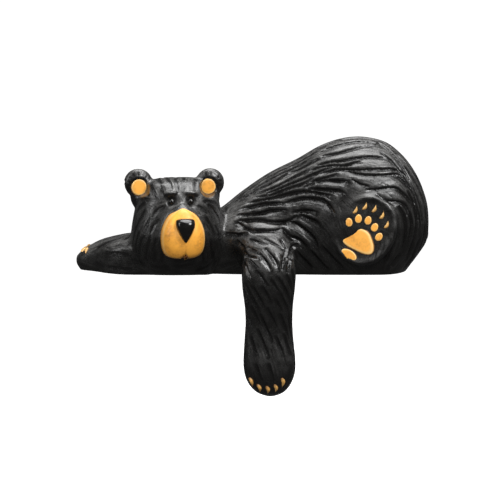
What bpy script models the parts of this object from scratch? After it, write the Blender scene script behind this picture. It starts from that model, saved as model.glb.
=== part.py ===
"""A carved black bear that lies along the edge of a shelf with one arm hanging over it.

Blender 4.5. Metres, +Z up, +X from the bear's head to its tail and -Y out over the front of the shelf.
The origin is on the seat, the flat underside that rests on the shelf. The bear is one casting, so it is
one solid: the large masses are blocked in and blended, the smaller forms are set on them, locks of fur
are cut along lines that follow the lie of the coat, and the space of the shelf is taken out at the end.

Tables are in millimetres and degrees.
"""

import math
import random

import bmesh
import bpy
import numpy as np
from mathutils import Euler, Vector, kdtree
from mathutils.bvhtree import BVHTree

MM = 0.001

# Driving dimensions
SHELF_EDGE = -34.0  # where the front face of the shelf crosses Y
RUMP_TOP = 77.5
RUMP_X = 48.0
HEAD_CENTRE = (-58.2, -24.0)
HEAD_YAW = 8.5  # how far the face turns towards the tail
EAR_RADIUS = 8.3
EAR_HEIGHT = 51.8
ARM_X = -6.5
ARM_LENGTH = 68.4  # how far the paw hangs below the seat
SOLE_CENTRE = (47.2, 42.6, 26.2)  # at the front side, with Y towards the viewer
SOLE_LEAN = 26.0
RING_POINTS = 40
UNDERCUT = 0.1  # how fast the underside rises in front of the shelf
TRIANGLES = 9300

# The lie of the coat in side view: X, Z and the angle of the fur above the direction of the tail
COAT = [
    (-25, 43, 33), (-8, 52, 32), (11, 62, 31), (28, 71, 22), (40, 73, 8), (52, 73, -15), (64, 65, -38),
    (73, 55, -55), (78, 43, -75), (82, 28, -88), (78, 18, -110), (69, 10, -130), (-20, 39, 22),
    (-3, 44, 20), (11, 51, 18), (28, 58, 8), (41, 61, 0), (57, 55, -20), (68, 45, -50), (74, 31, -80),
    (-17, 32, 0), (0, 35, -3), (11, 43, -8), (26, 48, -12), (37, 48, -18), (51, 48, -25),
    (61, 40, -50), (67, 28, -80), (65, 17, -105), (6, 30, -30), (26, 30, -40), (11, 20, -48),
    (22, 14, -50),
]
ARM_COAT = [
    (-17, 22, -25), (-6, 17, -35), (3, 14, -60), (-3, 6, -52), (-6, -9, -62), (-6, -26, -66),
    (-7, -43, -70), (-7, -55, -76),
]
SHELF_ARM_COAT = [(-30, 14, 200), (-60, 12, 185), (-90, 12, 178), (-108, 10, 170)]

# Locks of fur: spacing of the cuts, reach of a cut to each side, depth, shortest and longest cut
LOCKS = {
    "body": (4.6, 2.8, 1.35, 18, 46),
    "head": (3.3, 2.0, 0.75, 9, 24),
    "arm": (3.5, 2.1, 1.0, 8, 17),
    "shelf arm": (4.6, 2.3, 0.6, 9, 20),
    "mouth": (0, 2.2, 1.7, 0, 0),
}
STEP = 0.8  # along a cut


def clear_scene():
    for thing in list(bpy.data.objects):
        bpy.data.objects.remove(thing)


def collection(name):
    if name not in bpy.data.collections:
        bpy.context.scene.collection.children.link(bpy.data.collections.new(name))
    return bpy.data.collections[name]


def new_object(name, mesh, home="bear sculpture"):
    thing = bpy.data.objects.new(name, mesh)
    collection(home).objects.link(thing)
    return thing


def smooth_rows(rows, count):
    """A table of stations made finer: Catmull-Rom curves through its rows."""
    table = np.array(rows, float)
    found = []
    for i in range(len(table) - 1):
        before = table[max(i - 1, 0)]
        start, end = table[i], table[i + 1]
        after = table[min(i + 2, len(table) - 1)]
        for step in range(count):
            t = step / count
            found.append(
                0.5
                * (
                    2 * start
                    + (end - before) * t
                    + (2 * before - 5 * start + 4 * end - after) * t**2
                    + (3 * start - before - 3 * end + after) * t**3
                )
            )
    found.append(table[-1])
    return np.array(found)


def section(centre, side, up, half_width, rise, drop, power):
    """One ring of a loft: a superellipse that reaches rise above and drop below its centre."""
    ring = []
    for i in range(RING_POINTS):
        angle = 2 * math.pi * i / RING_POINTS
        c, s = math.cos(angle), math.sin(angle)
        across = half_width * math.copysign(abs(c) ** (2 / power), c)
        height = (rise if s > 0 else drop) * math.copysign(abs(s) ** (2 / power), s)
        ring.append((Vector(centre) + Vector(side) * across + Vector(up) * height) * MM)
    return ring


def loft(name, rings):
    """A closed skin over rings of equal length."""
    shape = bmesh.new()
    rows = [[shape.verts.new(point) for point in ring] for ring in rings]
    for lower, upper in zip(rows, rows[1:]):
        for i in range(RING_POINTS):
            j = (i + 1) % RING_POINTS
            shape.faces.new((lower[i], lower[j], upper[j], upper[i]))
    shape.faces.new(rows[0])
    shape.faces.new(rows[-1])
    bmesh.ops.recalc_face_normals(shape, faces=shape.faces)
    mesh = bpy.data.meshes.new(name)
    shape.to_mesh(mesh)
    shape.free()
    return new_object(name, mesh)


def ball(name, centre, radii, turn=(0, 0, 0)):
    """An ellipsoid, turned by the three angles."""
    shape = bmesh.new()
    bmesh.ops.create_uvsphere(shape, u_segments=32, v_segments=20, radius=1)
    turning = Euler([math.radians(angle) for angle in turn]).to_matrix()
    for vertex in shape.verts:
        stretched = Vector(a * b for a, b in zip(vertex.co, radii))
        vertex.co = (turning @ stretched + Vector(centre)) * MM
    mesh = bpy.data.meshes.new(name)
    shape.to_mesh(mesh)
    shape.free()
    return new_object(name, mesh)


def torso():
    """The trunk from the chest, hidden behind the head, to the end of the rump."""
    # x, top, middle, bottom, half width
    stations = [
        (-68, 19, 10, -16, 18),
        (-50, 26, 14, -20, 27),
        (-34, 35.5, 18, -24, 33),
        (-22, 45, 20, -24, 35),
        (-6, 56, 22, -24, 36),
        (11, 64.5, 24, -24, 37),
        (23, 71.5, 26, -24, 39),
        (35, 76, 27, -24, 41),
        (RUMP_X, RUMP_TOP, 28, -24, 42),
        (62, 74.5, 28, -16, 41),
        (71, 68, 28, -6, 37.5),
        (77, 61, 28, 2, 33),
        (82, 52.5, 28, 8.5, 27),
        (86, 42, 27, 14, 18),
        (87.6, 34, 26, 19, 7),
    ]
    rings = [
        section((x, 0, middle), (0, 1, 0), (0, 0, 1), half, top - middle, middle - bottom, 2.2)
        for x, top, middle, bottom, half in smooth_rows(stations, 5)
    ]
    return loft("torso", rings)


def head_frame():
    """The face's own directions: across to its left, forwards out of the muzzle, and up."""
    yaw = math.radians(HEAD_YAW)
    across = Vector((math.cos(yaw), math.sin(yaw), 0))
    forwards = Vector((math.sin(yaw), -math.cos(yaw), 0))
    return across, forwards, Vector((0, 0, 1))


def on_head(across, forwards, up):
    """A point given from the middle of the head's base, along the face's own directions."""
    a, f, u = head_frame()
    return Vector((*HEAD_CENTRE, 0)) + a * across + f * forwards + u * up


def in_head(place):
    """The other way round: a point's distances across, forwards and up."""
    apart = place - Vector((*HEAD_CENTRE, 0))
    return [apart.dot(axis) for axis in head_frame()]


def head_loft(name, stations, power, count=4, aside=0.0):
    """Level sections in the face's directions: height, half width, and how far forwards they end and start."""
    across, forwards, _ = head_frame()
    rings = []
    for up, half, front, back in smooth_rows(stations, count):
        middle = on_head(aside, (front + back) / 2, up)
        rings.append(section(middle, across, forwards, half, (front - back) / 2, (front - back) / 2, power))
    return loft(name, rings)


def head():
    """The skull and cheeks: widest at the cheeks and flat across the brow."""
    stations = [
        (-3, 16, 14, -12),
        (4, 22, 19, -17),
        (11, 25.6, 22, -21),
        (20, 27, 23.5, -24),
        (28, 26.4, 23, -25),
        (37, 24.6, 21.5, -24),
        (45, 22.8, 19.5, -21),
        (50.6, 20.2, 16, -17),
        (53.4, 16, 11.5, -12),
        (54.8, 9, 5, -6),
    ]
    return head_loft("head", stations, 2.3)


def muzzle():
    """An egg that stands on its broad end, flattened in front."""
    stations = [
        (11.2, 5, 26, 4),
        (12.6, 9.2, 29.5, 4),
        (15.8, 11.6, 32.4, 4),
        (20, 12.6, 33.8, 4),
        (24.5, 12.5, 33.8, 4),
        (29, 11.5, 33, 4),
        (33, 9.7, 31.2, 4),
        (36.8, 7.2, 28.8, 4),
        (40, 4.8, 25.8, 4),
        (41.8, 2, 23, 4),
    ]
    return head_loft("muzzle", stations, 2.9, aside=0.5)


def nose():
    """An inverted drop with a flat top, on the upper half of the muzzle."""
    stations = [
        (34.4, 2.6, 34, 26),
        (33.6, 4.7, 35.6, 26),
        (31.9, 5.4, 37.2, 26),
        (29.4, 5.2, 37.8, 26),
        (26.6, 4.1, 37.4, 26),
        (23.8, 2.7, 36.6, 26),
        (21.2, 1, 35.2, 26),
    ]
    return head_loft("nose", stations, 2.8, 3, 1.1)


def ear_centre(side):
    return on_head(20.5 * side - 2.1, 1, EAR_HEIGHT)


def dish_centre(side):
    """The middle of an ear's hollow, which lies low in it."""
    return ear_centre(side) + on_head(-0.9 * side - 0.6, 0, -2.1) - on_head(0, 0, 0)


def ears():
    """Round ears on the corners of the skull, each with a broad root."""
    parts = []
    for side in (-1, 1):
        centre = ear_centre(side)
        parts.append(ball("ear", centre, (EAR_RADIUS, 4.8, EAR_RADIUS), (0, 0, HEAD_YAW)))
        root = on_head(17.6 * side - 1.4, -1, 43.5)
        parts.append(ball("ear_root", root, (8, 6, 9), (0, 24 * side, HEAD_YAW)))
    return parts


def eye_centre(side):
    return on_head(5.3 * side, 20.6, 42.4)


def brows():
    """Low ridges over the eyes."""
    parts = []
    for side in (-1, 1):
        ridge = on_head(5.6 * side, 18.2, 47.2)
        parts.append(ball("brow", ridge, (4.2, 2, 1.4), (0, 4 * side, HEAD_YAW)))
    return parts


def hanging_arm():
    """The forearm and paw that hang in front of the shelf: level sections, flattened front and back."""
    # height, middle of X, half width, how far the front stands out of the shelf's plane
    stations = [
        (12, -6.5, 14, 20),
        (4, -6.5, 15.2, 22),
        (-6, -6.6, 14.8, 22),
        (-16, -6.5, 13.6, 21),
        (-27, -6.4, 13.3, 20),
        (-38, -6.3, 14.1, 20.5),
        (-47, -6.1, 14.8, 21.5),
        (-54, -6.0, 14.4, 21.5),
        (-60, -5.9, 12.2, 20),
        (-64.5, -5.7, 8.6, 17),
        (-66.8, -5.5, 4.8, 13),
        (-ARM_LENGTH, -5.5, 1, 9),
    ]
    middle = SHELF_EDGE - 9
    rings = [
        section((x, middle, up), (1, 0, 0), (0, -1, 0), half, front - 9, 12, 2.9)
        for up, x, half, front in smooth_rows(stations, 4)
    ]
    return loft("hanging_arm", rings)


def shelf_arm():
    """The other forearm, stretched out along the shelf, with a blunt paw."""
    # x, top, middle, bottom, front of it, back of it
    stations = [
        (-40, 20, 8, -12, -35, 20),
        (-70, 20.5, 8, -12, -34.5, 15),
        (-86, 20.5, 8, -12, -34, 12),
        (-97, 18.6, 8, -10, -29, 12),
        (-105, 16.4, 8, -8, -21, 11.5),
        (-111, 13.6, 7, -5, -16.5, 10),
        (-116, 10.4, 6, -1, -14, 7),
        (-119.4, 7.6, 5.4, 3, -9, 3),
    ]
    rings = [
        section(
            (x, (front + back) / 2, middle),
            (0, 1, 0),
            (0, 0, 1),
            (back - front) / 2,
            top - middle,
            middle - bottom,
            2.6,
        )
        for x, top, middle, bottom, front, back in smooth_rows(stations, 4)
    ]
    return loft("shelf_arm", rings)


def sole_frame(side):
    """A hind foot's directions: out of the sole, along it towards the toes, and across it."""
    lean = math.radians(SOLE_LEAN)
    outwards = Vector((-0.16, side * 0.98, 0.06)).normalized()
    along = Vector((math.sin(lean), 0, math.cos(lean)))
    along = (along - outwards * along.dot(outwards)).normalized()
    return outwards, along, outwards.cross(along)


def sole_middle(side):
    x, out, z = SOLE_CENTRE
    return Vector((x, side * out, z))


def foot(side):
    """A hind foot that stands out of the haunch, sole outwards. Side is -1 at the front and 1 behind."""
    # distance out, half width, half length
    stations = [
        (-22, 15.6, 18.6),
        (-8, 16.6, 19.6),
        (-2.5, 17.3, 20.4),
        (-0.6, 16.8, 19.9),
        (0.2, 15.4, 18.4),
        (-0.6, 13.6, 16.4),
        (-0.7, 6, 8),
    ]
    outwards, along, across = sole_frame(side)
    rings = [
        section(sole_middle(side) + outwards * out, across, along, half, length, length, 2.1)
        for out, half, length in smooth_rows(stations, 3)
    ]
    return loft("foot", rings)


def masses():
    """The large masses, as a carver blocks them in."""
    parts = [torso(), head(), shelf_arm()]
    parts.append(ball("shoulder_front", (-9, -28, 16), (19, 19, 17)))
    parts.append(ball("upper_arm", (ARM_X, -38, 8), (15, 17, 15)))
    parts.append(ball("shoulder_back", (-36, 16, 14), (28, 21, 20)))
    parts.append(ball("neck", (-38, -8, 19), (20, 22, 14.5)))
    for side in (-1, 1):
        parts.append(ball("haunch", (54, side * 18, 28), (31, 22.5, 34)))
    return parts


def features():
    """The smaller forms that are set on the blocked-in masses."""
    parts = [hanging_arm(), muzzle(), nose(), *ears(), *brows()]
    parts.extend(ball("eye", eye_centre(side), (2, 2, 2)) for side in (-1, 1))
    parts.append(ball("tail", (84.9, 0, 24), (3.4, 6.2, 8.8), (0, -14, 0)))
    for side in (-1, 1):
        parts.append(foot(side))
    return parts


def merge(name, parts, voxel, rounds):
    """The parts as one skin: a voxel remesh, then rounds of smoothing that blend the joints."""
    shape = bmesh.new()
    for part in parts:
        shape.from_mesh(part.data)
        bpy.data.objects.remove(part)
    mesh = bpy.data.meshes.new(name)
    shape.to_mesh(mesh)
    shape.free()
    whole = new_object(name, mesh)
    remesh = whole.modifiers.new("Remesh", "REMESH")
    remesh.mode = "VOXEL"
    remesh.voxel_size = voxel * MM
    smooth = whole.modifiers.new("Smooth", "SMOOTH")
    smooth.factor = 0.5
    smooth.iterations = rounds
    return applied(whole)


def applied(thing):
    """The object with its modifiers made part of its mesh."""
    name = thing.name
    graph = bpy.context.evaluated_depsgraph_get()
    made = bpy.data.meshes.new_from_object(thing.evaluated_get(graph))
    bpy.data.objects.remove(thing)
    return new_object(name, made)


def flatten_below(thing, level):
    """Nothing of the masses hangs under the seat, and what reaches out past the shelf's edge rises a little."""
    for vertex in thing.data.vertices:
        rise = UNDERCUT * (SHELF_EDGE - vertex.co.y / MM)
        vertex.co.z = max(vertex.co.z, max(level, rise) * MM)


def press(thing):
    """The dish of each ear, pushed into the skin."""
    across, forwards, up = head_frame()
    hollows = [(dish_centre(side), 4.9, 0.9, 1.5) for side in (-1, 1)]
    for vertex in thing.data.vertices:
        place = vertex.co / MM
        for centre, radius, soft, depth in hollows:
            apart = place - centre
            out = math.hypot(apart.dot(across), apart.dot(up))
            if out < radius + soft and 0 < apart.dot(forwards) + 2 and vertex.normal.dot(forwards) > 0:
                share = min(1, max(0, (radius + soft - out) / (2 * soft)))
                vertex.co -= forwards * depth * share * share * (3 - 2 * share) * MM


def blend(place, guides):
    """The lie of the fur at a place, blended from the guides near it in side view."""
    along = Vector((0, 0, 0))
    for x, z, angle in guides:
        weight = ((place.x - x) ** 2 + (place.z - z) ** 2 + 9) ** -1.5
        turn = math.radians(angle)
        along += weight * Vector((math.cos(turn), 0, math.sin(turn)))
    return along


def head_fur(place):
    """Fur that grows up the forehead and back, and falls down the cheeks."""
    across, forwards, up = in_head(place)
    sideways, ahead, upwards = head_frame()
    fall = min(1, max(0, (46 - up) / 10))
    away = sideways * across * (0.3 + 0.7 * fall) + ahead * (forwards - 19) + upwards * (up - 40)
    return away.normalized() + Vector((0, 0, -0.9 * fall))


def region(place):
    """Which part of the coat a place belongs to, or None where the bear is bare."""
    across, forwards, up = in_head(place)
    if (across / 30) ** 2 + (forwards / 28.5) ** 2 < 1 and up > 9:
        on_muzzle = forwards > 16 and ((across - 0.3) / 14.6) ** 2 + ((up - 26) / 17) ** 2 < 1
        by_eye = any((place - eye_centre(side) - Vector((0, 0, 2))).length < 6 for side in (-1, 1))
        on_ear = any((place - ear_centre(side)).length < EAR_RADIUS + 1.5 for side in (-1, 1))
        return None if on_muzzle or by_eye or on_ear else "head"
    if (place - on_head(0, 30, 26)).length < 20:
        return None
    for side in (-1, 1):
        outwards, along, side_way = sole_frame(side)
        apart = place - sole_middle(side)
        from_middle = math.hypot(apart.dot(along) / 20.5, apart.dot(side_way) / 17.5)
        if apart.dot(outwards) > -4 and from_middle < 1.06:
            return None
    if place.y < SHELF_EDGE - 3 and -24 < place.x < 10 and place.z < 24:
        bare = place.z < -56 or (place.y > SHELF_EDGE - 6 and place.z < 2)
        return None if bare else "arm"
    if place.z < 3.5:
        return None
    if place.x < -20 and place.z < 22 and place.x < -20 - 2 * (place.z - 12):
        return None if place.x < -106 else "shelf arm"
    return "body"


def lie_of_fur(place, normal, where):
    """The unit direction of the fur along the skin at a place."""
    if where == "head":
        along = head_fur(place)
    elif where == "arm":
        along = blend(place, ARM_COAT)
    elif where == "shelf arm":
        along = blend(place, SHELF_ARM_COAT)
    elif place.y < 0:
        along = blend(place, COAT + ARM_COAT[:4])
    else:
        along = blend(place, COAT)
    along -= normal * along.dot(normal)
    return along.normalized() if along.length > 1e-6 else None


def trace(skin, start, where, taken, spacing, longest):
    """One cut: steps both ways from its start along the lie of the fur, clear of the cuts already taken."""
    halves = []
    for sense in (1, -1):
        run = []
        place = start
        while len(run) * STEP < longest / 2:
            spot, normal, _, _ = skin.find_nearest(place * MM)
            place = spot / MM
            if region(place) != where:
                break
            if len(taken) and np.min(np.sum((taken - np.array(place)) ** 2, axis=1)) < (0.62 * spacing) ** 2:
                break
            along = lie_of_fur(place, normal, where)
            if along is None:
                break
            run.append(place.copy())
            place = place + along * (sense * STEP)
        halves.append(run)
    ahead, behind = halves
    return behind[:0:-1] + ahead


def mouth(skin):
    """The line from the tip of the nose down between the lips, and on under the muzzle."""
    return [skin.find_nearest(on_head(0.9, 40, 21.2 - STEP * i) * MM)[0] / MM for i in range(18)]


def cuts(thing):
    """The cuts between the locks: lines over the whole coat that keep their spacing."""
    skin = BVHTree.FromPolygons(
        [vertex.co for vertex in thing.data.vertices], [face.vertices[:] for face in thing.data.polygons]
    )
    draw = random.Random(7)
    found = [("mouth", mouth(skin))]
    taken = np.zeros((0, 3))
    low, high = (-120, -56, -60), (90, 44, 80)
    for _ in range(9000):
        aim = Vector(draw.uniform(a, b) for a, b in zip(low, high))
        chance = draw.random()
        start = skin.find_nearest(aim * MM)[0] / MM
        where = region(start)
        if where is None:
            continue
        spacing, _, _, shortest, longest = LOCKS[where]
        if len(taken) and np.min(np.sum((taken - np.array(start)) ** 2, axis=1)) < spacing**2:
            continue
        wanted = shortest + (longest - shortest) * chance
        line = trace(skin, start, where, taken, spacing, wanted)
        if len(line) * STEP < 0.6 * shortest:
            continue
        found.append((where, line))
        taken = np.vstack([taken, np.array([tuple(point) for point in line])])
    return found


def carve(thing, lines):
    """Each cut is a sharp groove whose sides round over into the locks beside it."""
    tree = kdtree.KDTree(sum(len(line) for _, line in lines))
    strength = []
    for where, line in lines:
        _, reach, depth, _, _ = LOCKS[where]
        for i, point in enumerate(line):
            taper = min(1, (i + 1) * STEP / 5, (len(line) - i) * STEP / 7)
            tree.insert(point, len(strength))
            strength.append((reach, depth * math.sqrt(taper)))
    tree.balance()
    normals = [vertex.normal.copy() for vertex in thing.data.vertices]
    for vertex, normal in zip(thing.data.vertices, normals):
        _, index, apart = tree.find(vertex.co / MM)
        reach, depth = strength[index]
        if apart < reach:
            vertex.co -= normal * depth * (1 - apart / reach) ** 1.7 * MM


def shelf_block():
    """The space of the shelf: everything behind its front face and under the seat."""
    shape = bmesh.new()
    bmesh.ops.create_cube(shape, size=1)
    low = Vector((-200, SHELF_EDGE, -120))
    high = Vector((200, 120, 0))
    for vertex in shape.verts:
        vertex.co = Vector(a + (b - a) * (c + 0.5) for a, b, c in zip(low, high, vertex.co)) * MM
    mesh = bpy.data.meshes.new("shelf_block")
    shape.to_mesh(mesh)
    shape.free()
    block = new_object("shelf_block", mesh, "cutters")
    block.hide_render = True
    block.display_type = "WIRE"
    return block


def black_paint():
    paint = bpy.data.materials.new("black paint")
    paint.use_nodes = True
    shader = paint.node_tree.nodes["Principled BSDF"]
    shader.inputs["Base Color"].default_value = (0.02, 0.02, 0.02, 1)
    shader.inputs["Roughness"].default_value = 0.35
    shader.inputs["Metallic"].default_value = 0
    return paint


def bear_skin(voxel=0.9, rounds=3):
    """The bear without its fur."""
    blocked = merge("blocked", masses(), 1.4, 10)
    flatten_below(blocked, -2.5)
    skin = merge("bear", [blocked, *features()], voxel, rounds)
    press(skin)
    return skin


def main():
    clear_scene()
    bear = bear_skin()
    carve(bear, cuts(bear))
    bear.data.shade_smooth()
    bear.data.materials.append(black_paint())
    fewer = bear.modifiers.new("Fewer faces", "DECIMATE")
    fewer.ratio = TRIANGLES / (2 * len(bear.data.polygons))
    cut = bear.modifiers.new("Shelf", "BOOLEAN")
    cut.object = shelf_block()


if __name__ == "__main__":
    main()
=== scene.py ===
"""The looks of a black bear that lies along a shelf edge: its carved coat, painted face, soles and claws.

A Blender 4.5 add-on that is run as a script. The bear is one casting, so every piece here sits on it and
stands for the one solid of the frame. Tables are in millimetres and degrees, and the meshes are in metres.
X runs from the head to the tail, -Y out over the front of the shelf, and the flat seat is at Z = 0.
"""

import math
import random

import bmesh
import bpy
import numpy as np
from bpy.props import FloatProperty, FloatVectorProperty, PointerProperty
from mathutils import Euler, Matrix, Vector
from mathutils.bvhtree import BVHTree


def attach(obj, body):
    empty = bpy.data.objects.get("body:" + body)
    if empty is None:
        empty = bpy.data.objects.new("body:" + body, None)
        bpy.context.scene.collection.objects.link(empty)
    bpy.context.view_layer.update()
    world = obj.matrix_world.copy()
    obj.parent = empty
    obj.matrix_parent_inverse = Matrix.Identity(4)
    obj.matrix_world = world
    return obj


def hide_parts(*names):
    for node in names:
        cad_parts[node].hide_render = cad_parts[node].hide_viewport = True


bl_info = {
    "name": "Shelf Bear",
    "version": (1, 0, 0),
    "blender": (4, 5, 0),
    "location": "3D View > Sidebar > Bear",
    "description": "Carves and paints a black bear that lies along a shelf edge",
    "category": "Add Mesh",
}

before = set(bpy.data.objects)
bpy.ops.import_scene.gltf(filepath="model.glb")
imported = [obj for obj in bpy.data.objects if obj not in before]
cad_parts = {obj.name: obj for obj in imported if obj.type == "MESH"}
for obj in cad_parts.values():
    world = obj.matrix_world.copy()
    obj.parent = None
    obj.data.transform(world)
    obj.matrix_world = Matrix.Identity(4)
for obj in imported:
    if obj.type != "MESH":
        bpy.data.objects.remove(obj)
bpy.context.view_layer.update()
NODE = "bear"
BODY = "root"
MM = 0.001

# Driving dimensions, the same as the solid's
SHELF_EDGE = -34.0
RUMP_TOP = 77.5
RUMP_X = 48.0
HEAD_CENTRE = (-58.2, -24.0)
HEAD_YAW = 8.5
EAR_RADIUS = 8.3
EAR_HEIGHT = 51.8
ARM_X = -6.5
ARM_LENGTH = 68.4
SOLE_CENTRE = (47.2, 42.6, 26.2)
SOLE_LEAN = 26.0
UNDERCUT = 0.1  # how fast the underside rises in front of the shelf
RING_POINTS = 40

# The lie of the coat in side view: X, Z and the angle of the fur above the direction of the tail
COAT = [
    (-25, 43, 33), (-8, 52, 32), (11, 62, 31), (28, 71, 22), (40, 73, 8), (52, 73, -15), (64, 65, -38),
    (73, 55, -55), (78, 43, -75), (82, 28, -88), (78, 18, -110), (69, 10, -130), (-20, 39, 22),
    (-3, 44, 20), (11, 51, 18), (28, 58, 8), (41, 61, 0), (57, 55, -20), (68, 45, -50), (74, 31, -80),
    (-17, 32, 0), (0, 35, -3), (11, 43, -8), (26, 48, -12), (37, 48, -18), (51, 48, -25),
    (61, 40, -50), (67, 28, -80), (65, 17, -105), (6, 30, -30), (26, 30, -40), (11, 20, -48),
    (22, 14, -50),
]
ARM_COAT = [
    (-17, 22, -25), (-6, 17, -35), (3, 14, -60), (-3, 6, -52), (-6, -9, -62), (-6, -26, -66),
    (-7, -43, -70), (-7, -55, -76),
]
SHELF_ARM_COAT = [(-30, 14, 200), (-60, 12, 185), (-90, 12, 178), (-108, 10, 170)]

# Cuts between locks: spacing, reach of a cut to each side, depth, shortest and longest cut
LOCKS = {
    "shoulder": (0, 3.2, 2.2, 0, 0),
    "back": (0, 2.8, 1.5, 0, 0),
    "flank": (0, 3.6, 2.0, 0, 0),
    "rump": (0, 2.8, 1.4, 0, 0),
    "arm top": (0, 2.6, 1.6, 0, 0),
    "body": (4.6, 2.8, 1.35, 18, 46),
    "head": (3.7, 2.0, 0.5, 9, 24),
    "arm": (3.2, 2.1, 1.3, 8, 17),
    "shelf arm": (6.5, 2.0, 0.25, 9, 20),
    "ear": (0, 1.1, 0.5, 0, 0),
}
# The main cuts of the front side, each a curve through a few places
MAIN_CUTS = [
    ("shoulder", [(-23, -29, 34), (-13, -32, 35), (-5, -33, 37), (4, -34, 37)]),
    ("shoulder", [(-21, -27, 38), (-14, -29, 40), (-5, -31, 41), (2, -33, 41)]),
    ("shoulder", [(-23, -32, 31), (-13, -34, 32), (-5, -36, 31), (4, -36, 31), (9, -36, 34)]),
    ("shoulder", [(-24, -32, 30), (-16, -41, 27), (-5, -42, 27), (2, -38, 27)]),
    ("flank", [(3, -33, 41), (8, -33, 43), (15, -34, 44), (24, -37, 42), (28, -39, 38), (30, -40, 34)]),
    ("flank", [(-17, -26, 41), (-5, -29, 44), (4, -30, 46), (12, -32, 48), (21, -35, 47), (29, -38, 45)]),
    ("back", [(-13, -25, 44), (-5, -28, 46), (4, -28, 49), (13, -29, 52), (19, -30, 55)]),
    ("back", [(-7, -26, 46), (8, -27, 53), (21, -28, 58), (30, -29, 62)]),
    ("back", [(14, -31, 50), (21, -31, 54), (32, -33, 57)]),
    ("back", [(-14, -21, 46), (-7, -24, 48), (2, -24, 52), (11, -23, 57), (19, -25, 61)]),
    ("back", [(-22, -18, 42), (-14, -18, 47), (-5, -20, 52), (4, -18, 57)]),
    ("flank", [(2, -36, 31), (8, -36, 30), (14, -37, 26), (19, -38, 21), (21, -38, 15)]),
    ("flank", [(2, -38, 27), (6, -38, 23), (11, -37, 20), (15, -37, 16)]),
    ("flank", [(12, -36, 34), (17, -37, 32), (21, -38, 30), (24, -39, 26)]),
    ("flank", [(8, -35, 36), (14, -36, 37), (21, -38, 36)]),
    ("arm top", [(1, -44, 21), (3, -46, 17), (2, -52, 12), (1, -55, 6)]),
    ("arm top", [(9, -37, 18), (5, -44, 15), (5, -52, 10), (4, -54, 4)]),
    ("arm top", [(-8, -51, 17), (-3, -54, 11), (-1, -55, 5)]),
    ("arm top", [(-12, -51, 15), (-7, -55, 9), (-5, -56, 5)]),
    ("back", [
        (22, -25, 62), (29, -26, 64), (34, -28, 65), (40, -28, 66),
        (47, -28, 67), (54, -27, 67), (63, -26, 66),
    ]),
    ("back", [(17, -25, 59), (22, -26, 61), (29, -28, 62), (36, -30, 62), (45, -30, 64)]),
    ("back", [
        (23, -30, 58), (32, -31, 60), (41, -33, 60), (49, -33, 60),
        (58, -32, 60), (65, -30, 60), (73, -26, 56),
    ]),
    ("back", [(25, -20, 67), (34, -22, 69), (44, -21, 72), (53, -18, 73)]),
    ("rump", [(37, -33, 59), (47, -35, 57), (57, -35, 57), (66, -31, 57), (70, -30, 55)]),
    ("rump", [(54, -36, 56), (60, -34, 57), (67, -32, 56), (71, -31, 52), (75, -30, 48)]),
    ("rump", [(41, -36, 54), (45, -38, 52), (49, -38, 51)]),
    ("rump", [(49, -39, 49), (54, -38, 49), (62, -37, 50), (67, -36, 49), (72, -34, 44), (75, -33, 40)]),
    ("rump", [(55, -40, 46), (59, -40, 43), (67, -38, 42), (71, -36, 39), (72, -36, 35)]),
    ("flank", [(17, -32, 49), (27, -36, 49), (33, -37, 48), (36, -39, 46)]),
    ("flank", [(20, -36, 44), (24, -37, 43), (28, -39, 39), (30, -40, 35)]),
    ("flank", [(17, -30, 53), (24, -32, 54), (32, -35, 54), (39, -36, 53)]),
    ("rump", [
        (57, -12, 74), (63, -18, 70), (68, -22, 64), (72, -26, 57),
        (76, -28, 49), (79, -28, 40), (81, -28, 30),
    ]),
    ("rump", [
        (59, -24, 68), (65, -27, 63), (70, -29, 55), (75, -30, 48),
        (78, -31, 39), (80, -30, 29), (79, -30, 22),
    ]),
    ("rump", [(73, -33, 47), (76, -32, 39), (78, -32, 31), (77, -32, 24), (75, -32, 14), (72, -31, 8)]),
    ("rump", [(67, -38, 39), (70, -38, 34), (71, -37, 28), (71, -37, 20), (69, -35, 13)]),
    ("rump", [(73, -36, 36), (75, -35, 30), (74, -35, 23), (72, -35, 16)]),
]
# Fine strokes of the graver on the locks
STROKES = {
    "body": (1.5, 0.8, 0.2, 5, 16),
    "head": (1.4, 0.75, 0.18, 4, 10),
    "arm": (1.5, 0.8, 0.16, 4, 9),
    "shelf arm": (1.9, 0.9, 0.12, 5, 10),
}
STEP = 0.8  # along a cut
COAT_TRIANGLES = 188000
FINE_VOXEL = 0.9


# Plain mesh tools


def new_object(name, mesh):
    thing = bpy.data.objects.new(name, mesh)
    bpy.context.scene.collection.objects.link(thing)
    return thing


def smooth_rows(rows, count):
    """A table of stations made finer: Catmull-Rom curves through its rows."""
    table = np.array(rows, float)
    found = []
    for i in range(len(table) - 1):
        before = table[max(i - 1, 0)]
        start, end = table[i], table[i + 1]
        after = table[min(i + 2, len(table) - 1)]
        for step in range(count):
            t = step / count
            found.append(
                0.5
                * (
                    2 * start
                    + (end - before) * t
                    + (2 * before - 5 * start + 4 * end - after) * t**2
                    + (3 * start - before - 3 * end + after) * t**3
                )
            )
    found.append(table[-1])
    return np.array(found)


def section(centre, side, up, half_width, rise, drop, power, points=RING_POINTS):
    """One ring of a loft: a superellipse that reaches rise above and drop below its centre."""
    ring = []
    for i in range(points):
        angle = 2 * math.pi * i / points
        c, s = math.cos(angle), math.sin(angle)
        across = half_width * math.copysign(abs(c) ** (2 / power), c)
        height = (rise if s > 0 else drop) * math.copysign(abs(s) ** (2 / power), s)
        ring.append((Vector(centre) + Vector(side) * across + Vector(up) * height) * MM)
    return ring


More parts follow.
